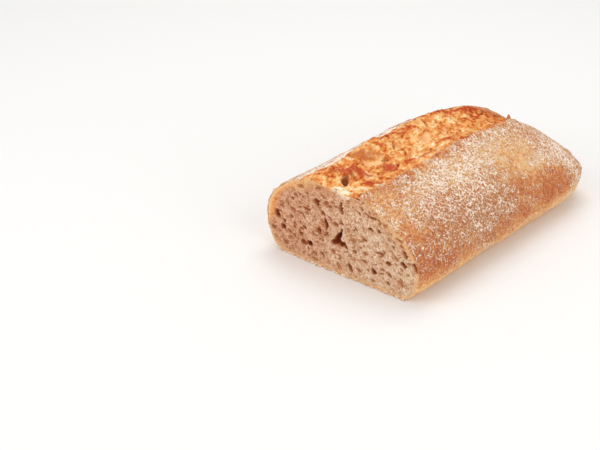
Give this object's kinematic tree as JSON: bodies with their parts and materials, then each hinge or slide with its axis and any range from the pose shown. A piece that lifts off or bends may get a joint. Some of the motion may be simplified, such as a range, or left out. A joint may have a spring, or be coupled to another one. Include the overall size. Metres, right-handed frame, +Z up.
{
  "type": "cut ciabatta loaf",
  "caption": "Cut half of a flat white-bread loaf: a floury, rounded crust, a torn band along the top, a flat base and an open, holey sliced face at one end.",
  "frame": {"origin": "the middle of the base of the loaf's box, on the surface that the loaf lies on", "axes": "+Z up, +Y along the loaf from the sliced face towards the whole, rounded end, +X to the right of someone who looks at the sliced face"},
  "size_m": [0.1204, 0.208, 0.0636],
  "materials": {
    "baked_crust": "matt golden-brown bread crust dusted with white flour",
    "toasted_crumb": "torn crumb of the open band along the top, rough, golden and toasted brown on its ridges",
    "soft_crumb": "soft, open crumb of the sliced face, pale beige with darker holes of many sizes"
  },
  "bodies": {
    "root": {"ciabatta": "baked_crust"}
  },
  "joints": []
}
